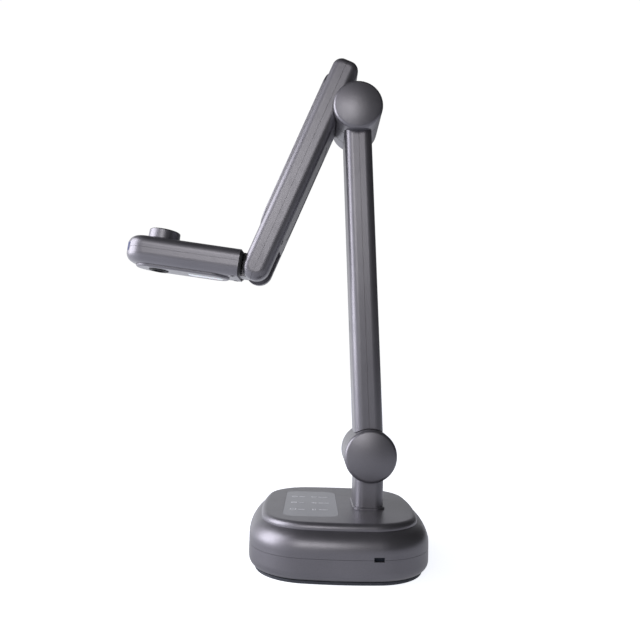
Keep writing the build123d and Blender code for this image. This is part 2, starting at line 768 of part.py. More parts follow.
spindle_radius = 3.5
head_screw_x = -18.0
head_screw_reach = 11.6
with BuildPart() as head_screws:
    with BuildSketch(head_level(head_bottom + 0.3)):
        with Locations((head_screw_x, -head_screw_reach), (head_screw_x, head_screw_reach)):
            Circle(1.9)
    extrude(amount=1.0)
    with BuildSketch(head_level(head_bottom + 1.3)):
        with Locations((head_screw_x, -head_screw_reach), (head_screw_x, head_screw_reach)):
            Circle(1.0)
    extrude(amount=9)
save(head_screws, "head_screws")

seam_plane = head_level(head_seam)
with BuildPart() as head_top_shell:
    add(head_form.part)
    add(head_room.part, mode=Mode.SUBTRACT)
    split(bisect_by=seam_plane.offset(parting_gap / 2), keep=Keep.TOP)
    with BuildSketch(seam_plane):
        with Locations((turret_x, 0)):
            Circle(spindle_radius + running_gap)
    extrude(amount=head_top - head_seam + 1, mode=Mode.SUBTRACT)
    add(nose_pocket.part, mode=Mode.SUBTRACT)
save(head_top_shell, "head_top_shell")

with BuildPart() as head_bottom_shell:
    add(head_form.part)
    add(head_room.part, mode=Mode.SUBTRACT)
    split(bisect_by=seam_plane.offset(-parting_gap / 2), keep=Keep.BOTTOM)
    with BuildSketch(bottom_level):
        with Locations((turret_x, 0)):
            Circle(turret_radius + 0.3)
        with Locations((led_x, 0)):
            SlotOverall(diffuser_length + 0.2, diffuser_width + 0.2)
    extrude(amount=head_wall, mode=Mode.SUBTRACT)
    with BuildSketch(bottom_level):
        with Locations((head_screw_x, -head_screw_reach), (head_screw_x, head_screw_reach)):
            Circle(3.0)
    extrude(amount=9)
    with BuildSketch(bottom_level):
        with Locations((head_screw_x, -head_screw_reach), (head_screw_x, head_screw_reach)):
            Circle(2.0)
    extrude(amount=1.3, mode=Mode.SUBTRACT)
    with BuildSketch(bottom_level):
        with Locations((head_screw_x, -head_screw_reach), (head_screw_x, head_screw_reach)):
            Circle(1.0)
    extrude(amount=11, mode=Mode.SUBTRACT)
    add(nose_pocket.part, mode=Mode.SUBTRACT)
save(head_bottom_shell, "head_bottom_shell")

# The wrist knuckle fills the slot of the upper arm and is clamped inside the head.
web_top = 4.0
web_bottom = -8.2
knuckle_radius = 8.5
cap_end = -11.6
cowl_end = -7.5
cap_inset = 1.0
anchor_end = -23.0
with BuildPart() as wrist_knuckle:
    with BuildSketch(head_side):
        Circle(knuckle_radius)
        with Locations((head_back / 2, (web_top + web_bottom) / 2)):
            Rectangle(-head_back, web_top - web_bottom)
    extrude(amount=wrist_knuckle_half, both=True)
    with BuildSketch(head_side):
        with Locations(((anchor_end + head_back) / 2, (web_top + head_bottom + head_wall) / 2)):
            Rectangle(head_back - anchor_end, web_top - head_bottom - head_wall)
    extrude(amount=8, both=True)
    with BuildSketch(head_side):
        Circle(wrist_pin_radius + running_gap)
    extrude(amount=wrist_knuckle_half, both=True, mode=Mode.SUBTRACT)
save(wrist_knuckle, "wrist_knuckle")

end_plane = Plane(
    origin=head_side.from_local_coords(Vector(head_back, (head_top + head_bottom) / 2, 0)),
    x_dir=(0, 1, 0),
    z_dir=head_side.x_dir,
)
with BuildPart() as head_end_cap:
    with BuildSketch(end_plane):
        RectangleRounded(arm_width - 2 * cap_inset, head_top - head_bottom - 2 * cap_inset, head_top_radius - cap_inset)
    extrude(amount=cap_end - head_back)
    chamfer(head_end_cap.faces().sort_by(head_along)[-1].edges(), length=1.2)
    with BuildSketch(head_side):
        with Locations(((head_back + cowl_end) / 2, (web_top + head_top - 1.6) / 2 + 0.2)):
            Rectangle(cowl_end - head_back, head_top - 1.6 - web_top - 0.4)
    extrude(amount=wrist_knuckle_half, both=True)
    with BuildSketch(head_side):
        with Locations((head_back / 2, (web_top + web_bottom) / 2 - 2)):
            Rectangle(-head_back + 4, web_top - web_bottom + 4)
    extrude(amount=wrist_knuckle_half, both=True, mode=Mode.SUBTRACT)
save(head_end_cap, "head_end_cap")


# ---- Camera turret: turns in the head about the head's normal ------------------------------------

turret_low = head_bottom - plate_drop - 0.9
turret_high = 4.0
lens_radius = 5.2
with BuildPart() as lens_barrel:
    with BuildSketch(head_level(turret_low)):
        with Locations((turret_x, 0)):
            Circle(turret_radius)
    extrude(amount=turret_high - turret_low)
    chamfer(lens_barrel.faces().sort_by(head_up)[0].edges(), length=0.5)
    with BuildSketch(head_level(turret_low)):
        with Locations((turret_x, 0)):
            Circle(lens_radius + 1.2)
    extrude(amount=3.0, mode=Mode.SUBTRACT)
    with BuildSketch(head_level(turret_low)):
        with Locations((turret_x, 0)):
            Circle(lens_radius - 1)
    extrude(amount=9, mode=Mode.SUBTRACT)
save(lens_barrel, "lens_barrel")

with BuildPart() as lens_ring:
    with BuildSketch(head_level(turret_low + 0.3)):
        with Locations((turret_x, 0)):
            Circle(lens_radius + 1.2)
            Circle(lens_radius, mode=Mode.SUBTRACT)
    extrude(amount=2.7)
save(lens_ring, "lens_ring")

with BuildPart() as lens_glass:
    with BuildSketch(head_level(turret_low + 1.4)):
        with Locations((turret_x, 0)):
            Circle(lens_radius)
    extrude(amount=1.6)
save(lens_glass, "lens_glass")

with BuildPart() as sensor_board:
    with BuildSketch(head_level(turret_high)):
        with Locations((turret_x, 0)):
            Circle(turret_radius + 3)
    extrude(amount=1.2)
save(sensor_board, "sensor_board")

spindle_top = head_top + knob_height - 2.5
with BuildPart() as turret_spindle:
    with BuildSketch(head_level(turret_high + 1.2)):
        with Locations((turret_x, 0)):
            Circle(6.5)
    extrude(amount=2)
    with BuildSketch(head_level(turret_high + 3.2)):
        with Locations((turret_x, 0)):
            Circle(spindle_radius)
    extrude(amount=spindle_top - turret_high - 3.2)
save(turret_spindle, "turret_spindle")

with BuildPart() as camera_knob:
    with BuildSketch(head_level(head_top + 0.4)):
        with Locations((turret_x, 0)):
            Circle(knob_radius)
    extrude(amount=knob_height, taper=2)
    fillet(camera_knob.faces().sort_by(head_up)[-1].edges(), radius=1.3)
    with BuildSketch(head_level(head_top + 0.4)):
        with Locations((turret_x, 0)):
            Circle(spindle_radius)
    extrude(amount=spindle_top - head_top - 0.4, mode=Mode.SUBTRACT)
save(camera_knob, "camera_knob")
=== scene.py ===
import json
import math

import bmesh
import bpy
from mathutils import Matrix, Vector


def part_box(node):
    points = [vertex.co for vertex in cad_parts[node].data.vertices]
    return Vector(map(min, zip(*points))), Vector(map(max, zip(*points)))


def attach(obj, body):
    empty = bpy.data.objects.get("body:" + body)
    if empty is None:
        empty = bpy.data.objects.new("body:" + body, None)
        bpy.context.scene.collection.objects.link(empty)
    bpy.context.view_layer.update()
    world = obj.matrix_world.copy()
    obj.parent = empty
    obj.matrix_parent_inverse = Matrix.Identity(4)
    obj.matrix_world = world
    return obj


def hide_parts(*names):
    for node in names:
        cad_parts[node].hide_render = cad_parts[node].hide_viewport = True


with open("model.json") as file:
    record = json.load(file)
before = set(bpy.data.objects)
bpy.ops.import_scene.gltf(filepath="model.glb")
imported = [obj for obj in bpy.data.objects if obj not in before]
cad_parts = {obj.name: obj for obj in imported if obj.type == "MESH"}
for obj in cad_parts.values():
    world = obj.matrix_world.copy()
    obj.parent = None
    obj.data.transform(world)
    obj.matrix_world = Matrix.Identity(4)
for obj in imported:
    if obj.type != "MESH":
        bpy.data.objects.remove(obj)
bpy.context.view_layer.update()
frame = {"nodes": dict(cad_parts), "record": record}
mm = 0.001
joints = {joint["name"]: joint for joint in frame["record"]["behaviour"]["joints"]}
print("frame loaded:", len(frame["nodes"]), "nodes")

armOffset = 23 * mm         # elbow axis to the middle of the upper bar
halfThickness = 11 * mm     # half of the upper bar's thickness


# Frames of the neck and the tilted parts: x across the part, y up along it, z towards the lock slot side

def sideFrame(place, acrossAxis):
    across = Vector(acrossAxis).normalized()
    towards = Vector((0, -1, 0))
    up = towards.cross(across)
    turn = Matrix((across, up, towards)).transposed().to_4x4()
    return Matrix.Translation(Vector(place)) @ turn


def jointPlace(name):
    return Vector(joints[name]["pos_m"])


def directions():
    elbow, wrist, foot = jointPlace("elbow_hinge"), jointPlace("wrist_hinge"), jointPlace("base_hinge")
    reach = (wrist - elbow).length
    lean = math.atan2(elbow.x - wrist.x, elbow.z - wrist.z) - math.asin(armOffset / reach)
    lowerUp = (elbow - foot).normalized()
    headUp = Vector(joints["lens_turn"]["axis"]).normalized()
    return {
        "elbow": sideFrame(elbow, (lowerUp.z, 0, -lowerUp.x)),
        "neck": sideFrame(foot, (1, 0, 0)),
        "upper": sideFrame(elbow, (math.cos(lean), 0, -math.sin(lean))),
        "head": sideFrame(wrist, (headUp.z, 0, -headUp.x)),
    }


frames = directions()
turretPlace = frames["head"].inverted() @ jointPlace("lens_turn")


# Shader expressions

class wire:
    def __init__(self, bench, socket):
        self.bench = bench
        self.socket = socket

    def work(self, operation, first, second):
        made = self.bench.node("ShaderNodeMath", {"operation": operation}, {0: first, 1: second})
        return wire(self.bench, made.outputs[0])

    def __add__(self, other): return self.work("ADD", self, other)
    def __radd__(self, other): return self.work("ADD", other, self)
    def __sub__(self, other): return self.work("SUBTRACT", self, other)
    def __rsub__(self, other): return self.work("SUBTRACT", other, self)
    def __mul__(self, other): return self.work("MULTIPLY", self, other)
    def __rmul__(self, other): return self.work("MULTIPLY", other, self)
    def __pow__(self, other): return self.work("POWER", self, other)


class bench:
    def __init__(self, owner):
        owner.use_nodes = True
        self.material = owner
        self.tree = owner.node_tree
        self.shader = self.tree.nodes.get("Principled BSDF")

    def node(self, kind, settings=None, inputs=None):
        made = self.tree.nodes.new(kind)
        for key, value in (settings or {}).items():
            setattr(made, key, value)
        for key, value in (inputs or {}).items():
            self.feed(made.inputs[key], value)
        return made

    def feed(self, socket, value):
        if isinstance(value, wire):
            self.tree.links.new(value.socket, socket)
        elif hasattr(value, "is_output"):
            self.tree.links.new(value, socket)
        else:
            socket.default_value = value

    def place(self, scale=(1, 1, 1)):
        coordinates = self.node("ShaderNodeTexCoord").outputs["Object"]
        return self.node("ShaderNodeMapping", None, {"Vector": coordinates, "Scale": scale}).outputs["Vector"]

    def noise(self, size, detail=2.0, roughness=0.5, stretch=(1, 1, 1)):
        made = self.node(
            "ShaderNodeTexNoise", None,
            {"Vector": self.place(stretch), "Scale": 1 / size, "Detail": detail, "Roughness": roughness},
        )
        return wire(self, made.outputs["Fac"])

    def range(self, value, low, high, newLow=0.0, newHigh=1.0):
        made = self.node(
            "ShaderNodeMapRange", {"clamp": True},
            {"Value": value, "From Min": low, "From Max": high, "To Min": newLow, "To Max": newHigh},
        )
        return wire(self, made.outputs["Result"])

    def blend(self, share, first, second):
        made = self.node("ShaderNodeMix", {"data_type": "RGBA"}, {"Factor": share, 6: first, 7: second})
        return wire(self, made.outputs[2])

    def bump(self, height, strength, distance):
        inputs = {"Height": height, "Strength": strength, "Distance": distance}
        return wire(self, self.node("ShaderNodeBump", None, inputs).outputs["Normal"])

    def set(self, **values):
        for key, value in values.items():
            self.feed(self.shader.inputs[shaderNames[key]], value)


shaderNames = {
    "colour": "Base Color", "rough": "Roughness", "metal": "Metallic", "normal": "Normal",
    "specular": "Specular IOR Level", "coat": "Coat Weight", "coatRough": "Coat Roughness",
    "glow": "Emission Color", "glowPower": "Emission Strength",
    "scatter": "Subsurface Weight", "scatterScale": "Subsurface Scale",
}


# Satin metallic paint of the mouldings: flakes, a soft orange peel and faint handling marks

graphite = {
    "deep": (0.185, 0.180, 0.202, 1),
    "light": (0.238, 0.232, 0.258, 1),
    "metallic": 0.80,
    "roughness": 0.37,
    "flakeSize": 0.32 * mm,
    "peelSize": 1.1 * mm,
    "cloudSize": 46 * mm,
    "markSize": 7 * mm,
}


def graphitePaint():
    desk = bench(bpy.data.materials.new("graphiteShell"))
    flakes = desk.noise(graphite["flakeSize"], 1.0)
    clouds = desk.noise(graphite["cloudSize"], 3.0, 0.55)
    marks = desk.noise(graphite["markSize"], 4.0, 0.6, (1, 1, 0.45))
    tone = desk.range(flakes, 0.30, 0.70) * 0.55 + desk.range(clouds, 0.35, 0.65) * 0.45
    wiped = desk.range(marks, 0.52, 0.70)
    peel = desk.noise(graphite["peelSize"], 2.0)
    desk.set(
        colour=desk.blend(tone, graphite["deep"], graphite["light"]),
        metal=graphite["metallic"],
        rough=graphite["roughness"] + clouds * 0.06 + wiped * 0.045 - flakes * 0.04,
        normal=desk.bump(peel + flakes * 0.35, 0.10, 0.06 * mm),
        coat=0.10,
        coatRough=0.28,
    )
    return desk.material


# the two colours that each finish varies between
tints = {
    "touchFilm": ((0.262, 0.266, 0.300, 1), (0.300, 0.304, 0.338, 1)),
    "footRubber": ((0.040, 0.044, 0.058, 1), (0.070, 0.074, 0.090, 1)),
    "steel": ((0.42, 0.42, 0.43, 1), (0.60, 0.60, 0.61, 1)),
    "blackSteel": ((0.030, 0.030, 0.034, 1), (0.062, 0.062, 0.068, 1)),
    # lensGlass: the second colour is a painted purple sheen of the coating, shown towards grazing angles
    "lensGlass": ((0.010, 0.012, 0.030, 1), (0.060, 0.030, 0.110, 1)),
    "diffuser": ((0.74, 0.76, 0.80, 1), (0.86, 0.87, 0.90, 1)),
    "window": ((0.015, 0.022, 0.090, 1), (0.035, 0.050, 0.160, 1)),
    "printedInk": ((0.78, 0.79, 0.84, 1), (0.92, 0.93, 0.97, 1)),
    "goldContact": ((0.72, 0.48, 0.16, 1), (0.86, 0.64, 0.28, 1)),
}
blackPlastic = {"colour": (0.018, 0.018, 0.021, 1), "worn": (0.040, 0.040, 0.044, 1), "roughness": 0.46}


def blackTrim():
    desk = bench(bpy.data.materials.new("blackTrim"))
    grain = desk.noise(0.5 * mm, 2.0)
    dust = desk.range(desk.noise(9 * mm, 4.0, 0.6), 0.48, 0.72)
    desk.set(
        colour=desk.blend(dust * 0.7, blackPlastic["colour"], blackPlastic["worn"]),
        rough=blackPlastic["roughness"] + grain * 0.12 + dust * 0.10,
        normal=desk.bump(grain, 0.35, 0.05 * mm),
    )
    return desk.material


def touchFilm():
    desk = bench(bpy.data.materials.new("touchFilm"))
    grain = desk.noise(0.28 * mm, 1.0)
    smear = desk.range(desk.noise(14 * mm, 3.0, 0.6, (1, 0.4, 1)), 0.45, 0.7)
    desk.set(
        colour=desk.blend(smear, *tints["touchFilm"]),
        metal=0.35,
        rough=0.34 + grain * 0.05 + smear * 0.09,
        normal=desk.bump(grain, 0.06, 0.03 * mm),
        coat=0.35,
        coatRough=0.22,
    )
    return desk.material


def footRubber():
    desk = bench(bpy.data.materials.new("footRubber"))
    grain = desk.noise(0.7 * mm, 3.0)
    dust = desk.range(desk.noise(6 * mm, 5.0, 0.62), 0.42, 0.75)
    desk.set(
        colour=desk.blend(dust, *tints["footRubber"]),
        rough=0.62 + grain * 0.12 + dust * 0.1,
        normal=desk.bump(grain, 0.5, 0.08 * mm),
    )
    return desk.material


def brushedSteel(name, roughness):
    desk = bench(bpy.data.materials.new(name))
    lines = desk.noise(0.4 * mm, 3.0, 0.6, (1, 0.04, 1))
    stain = desk.range(desk.noise(5 * mm, 4.0), 0.45, 0.7)
    desk.set(
        colour=desk.blend(stain * 0.6 + lines * 0.4, *tints[name]),
        metal=1.0,
        rough=roughness + lines * 0.12 + stain * 0.08,
        normal=desk.bump(lines, 0.15, 0.03 * mm),
    )
    return desk.material


def circuitBoard():
    desk = bench(bpy.data.materials.new("circuitBoard"))
    tracks = desk.node("ShaderNodeTexBrick", None, {
        "Vector": desk.place(), "Scale": 180.0, "Mortar Size": 0.03, "Color1": (0.010, 0.090, 0.035, 1),
        "Color2": (0.014, 0.120, 0.048, 1), "Mortar": (0.10, 0.24, 0.08, 1),
    })
    desk.set(colour=wire(desk, tracks.outputs["Color"]), rough=0.35 + desk.noise(2 * mm) * 0.15)
    return desk.material


def lensCoating():
    desk = bench(bpy.data.materials.new("lensGlass"))
    # painted sheen: the colour turns purple towards grazing angles, in place of the coating's reflection
    edge = wire(desk, desk.node("ShaderNodeLayerWeight", None, {"Blend": 0.35}).outputs["Facing"])
    dust = desk.range(desk.noise(1.4 * mm, 5.0, 0.7), 0.62, 0.8)
    desk.set(
        colour=desk.blend(edge, *tints["lensGlass"]),
        rough=0.04 + dust * 0.08,
        coat=1.0,
        coatRough=0.03,
        specular=0.8,
    )
    return desk.material


def frostedDiffuser():
    desk = bench(bpy.data.materials.new("diffuser"))
    frost = desk.noise(0.9 * mm, 3.0)
    pools = desk.range(desk.noise(6 * mm, 1.0), 0.4, 0.6)
    desk.set(
        colour=desk.blend(pools * 0.5 + frost * 0.3, *tints["diffuser"]),
        rough=0.30 + frost * 0.16,
        normal=desk.bump(frost, 0.25, 0.05 * mm),
        scatter=0.15,
        scatterScale=2 * mm,
        glow=(0.80, 0.84, 0.95, 1),
        glowPower=0.12,
    )
    return desk.material


def tintedWindow():
    desk = bench(bpy.data.materials.new("window"))
    depth = desk.range(desk.noise(5 * mm, 2.0), 0.35, 0.65)
    desk.set(
        colour=desk.blend(depth, *tints["window"]),
        rough=0.20 + depth * 0.08,
        specular=0.25,
    )
    return desk.material


def printedInk():
    desk = bench(bpy.data.materials.new("printedInk"))
    worn = desk.range(desk.noise(0.5 * mm, 4.0, 0.6), 0.40, 0.62)
    desk.set(
        colour=desk.blend(worn, *tints["printedInk"]),
        rough=0.55 + worn * 0.1,
    )
    return desk.material


def goldContact():
    desk = bench(bpy.data.materials.new("goldContact"))
    wiped = desk.noise(0.3 * mm, 2.0, 0.5, (1, 0.2, 1))
    desk.set(
        colour=desk.blend(wiped, *tints["goldContact"]),
        metal=1.0,
        rough=0.22 + wiped * 0.1,
    )
    return desk.material


finishes = {
    "graphite_shell": graphitePaint(),
    "black_trim": blackTrim(),
    "touch_film": touchFilm(),
    "foot_rubber": footRubber(),
    "steel": brushedSteel("steel", 0.28),
    "black_steel": brushedSteel("blackSteel", 0.34),
    "circuit_board": circuitBoard(),
    "lens_glass": lensCoating(),
    "diffuser": frostedDiffuser(),
    "window": tintedWindow(),
}
ink = printedInk()
gold = goldContact()
print("materials ready:", len(finishes) + 2)

for part in frame["record"]["subparts"]:
    dressed = frame["nodes"][part["node"]]
    dressed.data.materials.clear()
    dressed.data.materials.append(finishes[part["material_slot"]])
print("frame dressed")


# Helpers for the modelled pieces

def finishPiece(mesh, name, body, slotName, material=None, smoothAngle=35, place=None, stands=()):
    if place is not None:
        bmesh.ops.transform(mesh, matrix=place, verts=mesh.verts)
    bmesh.ops.remove_doubles(mesh, verts=mesh.verts, dist=1e-7)
    bmesh.ops.recalc_face_normals(mesh, faces=mesh.faces)
    for edge in mesh.edges:
        edge.smooth = len(edge.link_faces) == 2 and edge.calc_face_angle() < math.radians(smoothAngle)
    for face in mesh.faces:
        face.smooth = True
    data = bpy.data.meshes.new(name)
    mesh.to_mesh(data)
    mesh.free()
    piece = bpy.data.objects.new(name, data)
    bpy.context.collection.objects.link(piece)
    data.materials.append(material or finishes[slotName])
    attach(piece, body)
    if stands:
        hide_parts(*stands)


def turnedMesh(profile, steps=64):
    # a lathe profile of (radius, height) pairs spun about z
    mesh = bmesh.new()
    points = [mesh.verts.new((radius, 0, height)) for radius, height in profile]
    edges = [mesh.edges.new(pair) for pair in zip(points, points[1:])]
    bmesh.ops.spin(
        mesh, geom=points + edges, cent=(0, 0, 0), axis=(0, 0, 1), angle=math.tau, steps=steps,
        use_merge=True,
    )
    bmesh.ops.remove_doubles(mesh, verts=mesh.verts, dist=1e-7)
    return mesh


def joinMesh(whole, added):
    spare = bpy.data.meshes.new("spare")
    added.to_mesh(spare)
    added.free()
    whole.from_mesh(spare)
    bpy.data.meshes.remove(spare)


def addPlate(mesh, centre, size, height, corner=0.0):
    # a flat plate, with round corners if wanted, added to a mesh
    made = bmesh.ops.create_grid(mesh, x_segments=1, y_segments=1, size=0.5)
    corners = made["verts"]
    bmesh.ops.scale(mesh, vec=(size[0], size[1], 1), verts=corners)
    bmesh.ops.translate(mesh, vec=(*centre, 0), verts=corners)
    faces = list({face for vert in corners for face in vert.link_faces})
    if corner:
        rounded = bmesh.ops.bevel(
            mesh, geom=corners, offset=corner, offset_type="OFFSET", affect="VERTICES", segments=5,
            profile=0.5, material=-1,
        )
        faces = list(set(rounded["faces"]) | {face for vert in rounded["verts"] for face in vert.link_faces})
    raised = bmesh.ops.extrude_face_region(mesh, geom=faces)
    top = [item for item in raised["geom"] if isinstance(item, bmesh.types.BMVert)]
    bmesh.ops.translate(mesh, vec=(0, 0, height), verts=top)


def addRing(mesh, centre, outer, inner, height, start=0.0, sweep=math.tau, steps=32):
    # a flat ring or part of one, swept about its own centre
    around = Vector((*centre, 0))
    arm = Matrix.Rotation(start, 3, "Z")
    section = [(inner, 0, 0), (outer, 0, 0), (outer, 0, height), (inner, 0, height)]
    points = [mesh.verts.new(around + arm @ Vector(point)) for point in section]
    if sweep == math.tau:
        edges = [mesh.edges.new((points[i], points[(i + 1) % 4])) for i in range(4)]
        bmesh.ops.spin(
            mesh, geom=points + edges, cent=around, axis=(0, 0, 1), angle=sweep, steps=steps, use_merge=True,
        )
    else:
        first = mesh.faces.new(points)
        bmesh.ops.spin(mesh, geom=[first], cent=around, axis=(0, 0, 1), angle=sweep, steps=steps)


# Print on the touch panel: six plain signs, each with a bar beside it

panelPrint = {
    "rows": (22 * mm, 0.0, -23 * mm),
    "columns": (-13.2 * mm, 2.6 * mm),
    "sign": 2.3 * mm,
    "line": 0.55 * mm,
    "barShift": 3.6 * mm,
    "barHeight": 0.92 * mm,
    "barCorner": 0.4 * mm,
    "barWidths": ((4.6 * mm, 7.4 * mm), (4.2 * mm, 8.2 * mm), (5.0 * mm, 6.6 * mm)),
    "thickness": 0.05 * mm,
}


def crossSign(mesh, centre, upright):
    size, line, height = panelPrint["sign"], panelPrint["line"], panelPrint["thickness"]
    addRing(mesh, centre, size, size - line, height)
    addPlate(mesh, centre, (size * 1.1, line), height)
    if upright:
        addPlate(mesh, (centre[0], centre[1] + size * 0.33), (line, size * 0.42), height)
        addPlate(mesh, (centre[0], centre[1] - size * 0.33), (line, size * 0.42), height)


def turnSign(mesh, centre):
    size, line, height = panelPrint["sign"], panelPrint["line"], panelPrint["thickness"]
    addRing(mesh, centre, size, size - line, height, math.radians(40), math.radians(280), 24)
    tip = (centre[0] + size * 0.72, centre[1] + size * 0.72)
    addPlate(mesh, tip, (line * 2.0, line * 2.0), height, line * 0.4)


def lampSign(mesh, centre):
    size, line, height = panelPrint["sign"], panelPrint["line"], panelPrint["thickness"]
    addRing(mesh, centre, size * 0.5, size * 0.5 - line, height, steps=24)
    reach = size * 0.86
    for ray in range(8):
        turn = ray * math.tau / 8
        dot = (centre[0] + math.cos(turn) * reach, centre[1] + math.sin(turn) * reach)
        addRing(mesh, dot, line * 0.6, line * 0.1, height, steps=10)


def frameSign(mesh, centre):
    size, line, height = panelPrint["sign"], panelPrint["line"], panelPrint["thickness"]
    for side in (-1, 1):
        addPlate(mesh, (centre[0] + side * size * 0.9, centre[1]), (line, size * 1.8), height)
        addPlate(mesh, (centre[0], centre[1] + side * size * 0.9), (size * 1.8 - line, line), height)


def pauseSign(mesh, centre):
    size, line, height = panelPrint["sign"], panelPrint["line"], panelPrint["thickness"]
    bar = (line * 1.5, size * 1.7)
    for side in (-1, 1):
        addPlate(mesh, (centre[0] + side * size * 0.4, centre[1]), bar, height, line * 0.4)


def touchPrint():
    low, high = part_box("touch_panel")
    middle = (low + high) / 2
    top = Matrix.Translation((middle.x, middle.y, high.z))
    height = panelPrint["thickness"]
    mesh = bmesh.new()
    signs = (
        (lambda at: crossSign(mesh, at, True), lambda at: turnSign(mesh, at)),
        (lambda at: crossSign(mesh, at, False), lambda at: lampSign(mesh, at)),
        (lambda at: frameSign(mesh, at), lambda at: pauseSign(mesh, at)),
    )
    for row, pair, widths in zip(panelPrint["rows"], signs, panelPrint["barWidths"]):
        for column, sign, width in zip(panelPrint["columns"], pair, widths):
            sign((column, row))
            barCentre = (column + panelPrint["barShift"] + width / 2, row)
            addPlate(mesh, barCentre, (width, panelPrint["barHeight"]), height, panelPrint["barCorner"])
    finishPiece(mesh, "touchPrint", "base", "touch_film", ink, place=top)


touchPrint()
print("touch print done")


# Painted shade: dark lines where the domed caps meet the hinge barrels, standing in for the shadow in the
# seams

barrelShadeLine = {"radius": 20.02 * mm, "width": 0.34 * mm, "inner": 18.6 * mm, "capFace": 20.5 * mm}


def barrelShadeLines(jointFrame, name, body):
    inner, radius, half = barrelShadeLine["inner"], barrelShadeLine["radius"], barrelShadeLine["width"] / 2
    profile = [
        (inner, -half), (radius - half, -half), (radius, 0), (radius - half, half), (inner, half),
        (inner, -half),
    ]
    mesh = bmesh.new()
    for side in (-1, 1):
        ring = turnedMesh(profile, 96)
        bmesh.ops.translate(ring, vec=(0, 0, side * barrelShadeLine["capFace"]), verts=ring.verts)
        joinMesh(mesh, ring)
    # black rings painted as the seam shadow at each cap face
    finishPiece(mesh, name, body, "black_trim", place=jointFrame)


barrelShadeLines(frames["neck"], "lowerBarrelShadeLines", "base")
barrelShadeLines(frames["elbow"], "elbowBarrelShadeLines", "lower_arm")
print("barrel lines done")


# Screws with a domed head and a six-sided recess

screwShape = {
    "radius": 1.9 * mm, "height": 1.3 * mm, "recess": 1.05 * mm, "recessDepth": 0.8 * mm,
    "dome": 0.35 * mm,
    "domeSteps": ((0.07, 0.6), (0.13, 0.3), (0.21, 0.1)),    # share of the radius, share of the dome
}


def screwHead():
    mesh = bmesh.new()
    made = bmesh.ops.create_circle(mesh, cap_ends=True, segments=48, radius=screwShape["radius"])
    face = next(iter({face for vert in made["verts"] for face in vert.link_faces}))
    side = bmesh.ops.extrude_face_region(mesh, geom=[face])
    top = [item for item in side["geom"] if isinstance(item, bmesh.types.BMVert)]
    bmesh.ops.translate(mesh, vec=(0, 0, screwShape["height"] - screwShape["dome"]), verts=top)
    lid = max(mesh.faces, key=lambda item: item.calc_center_median().z)
    for inwards, upwards in screwShape["domeSteps"]:
        bmesh.ops.inset_region(
            mesh, faces=[lid], thickness=screwShape["radius"] * inwards, depth=screwShape["dome"] * upwards,
        )
    mesh.faces.ensure_lookup_table()
    hexagon = bmesh.ops.create_circle(mesh, cap_ends=False, segments=6, radius=screwShape["recess"])
    level = lid.calc_center_median().z
    bmesh.ops.translate(mesh, vec=(0, 0, level), verts=hexagon["verts"])
    lidEdges = list(lid.edges)
    hexEdges = list({edge for vert in hexagon["verts"] for edge in vert.link_edges})
    bmesh.ops.delete(mesh, geom=[lid], context="FACES_ONLY")
    bmesh.ops.bridge_loops(mesh, edges=lidEdges + hexEdges)
    floor = bmesh.ops.extrude_edge_only(mesh, edges=hexEdges)
    floorVerts = [item for item in floor["geom"] if isinstance(item, bmesh.types.BMVert)]
    bmesh.ops.translate(mesh, vec=(0, 0, -screwShape["recessDepth"]), verts=floorVerts)
    bmesh.ops.contextual_create(mesh, geom=floorVerts)
    return mesh


def screwPair(name, body, slotName, stands, places):
    whole = bmesh.new()
    for place in places:
        head = screwHead()
        bmesh.ops.transform(head, matrix=place, verts=head.verts)
        joinMesh(whole, head)
    finishPiece(whole, name, body, slotName, stands=stands, smoothAngle=40)


def facing(jointFrame, across, along, sideways, outward):
    # a place on a part's side frame whose z points along `outward` in that frame
    normal = Vector(outward).normalized()
    other = Vector((0, 0, 1)).cross(normal)
    if other.length < 0.1:
        other = Vector((1, 0, 0))
    other.normalize()
    turn = Matrix((other, normal.cross(other), normal)).transposed().to_4x4()
    return jointFrame @ Matrix.Translation((across, along, sideways)) @ turn


underPlateLevel = -9.8 * mm     # lowest face of the head's raised plate, on the head's frame
armScrews = {"along": -124.5 * mm, "reach": 13 * mm, "across": -armOffset + halfThickness - 1.7 * mm}
screwPair(
    "upperArmScrewHeads", "upper_arm", "black_steel", ["upper_arm_screws"],
    [
        facing(frames["upper"], armScrews["across"], armScrews["along"], sideways, (1, 0, 0))
        for sideways in (-armScrews["reach"], armScrews["reach"])
    ],
)
headScrews = {"along": -18 * mm, "reach": 11.6 * mm, "level": underPlateLevel + 1.6 * mm}
screwPair(
    "headScrewHeads", "head", "black_steel", ["head_screws"],
    [
        facing(frames["head"], headScrews["along"], headScrews["level"], sideways, (0, -1, 0))
        for sideways in (-headScrews["reach"], headScrews["reach"])
    ],
)
print("screws done")


# Lens: coated front element and the ring around it

lensShape = {
    "level": underPlateLevel - 2.9 * mm, "inside": 2.2 * mm,
    "radius": 5.1 * mm, "bulge": 0.9 * mm, "edge": 0.8 * mm,
    "ringInner": 5.2 * mm, "ringOuter": 6.35 * mm, "ringBack": 2.4 * mm, "ringFront": 0.25 * mm,
    "ringBevelInner": 0.25 * mm, "ringBevelOuter": 0.2 * mm,
}


def lensFrame(level):
    return facing(frames["head"], turretPlace.x, level, 0, (0, -1, 0))


def lensElement():
    size, bulge, edge, steps = lensShape["radius"], lensShape["bulge"], lensShape["edge"], 10
    profile = []
    for step in range(steps + 1):
        turn = step / steps * math.pi / 2
        profile.append((size * math.sin(turn), bulge * math.cos(turn)))
    mesh = turnedMesh(profile + [(size, -edge), (0, -edge)])
    seat = lensFrame(lensShape["level"] + lensShape["inside"])
    finishPiece(mesh, "lensElement", "turret", "lens_glass", place=seat, stands=["lens_glass"])


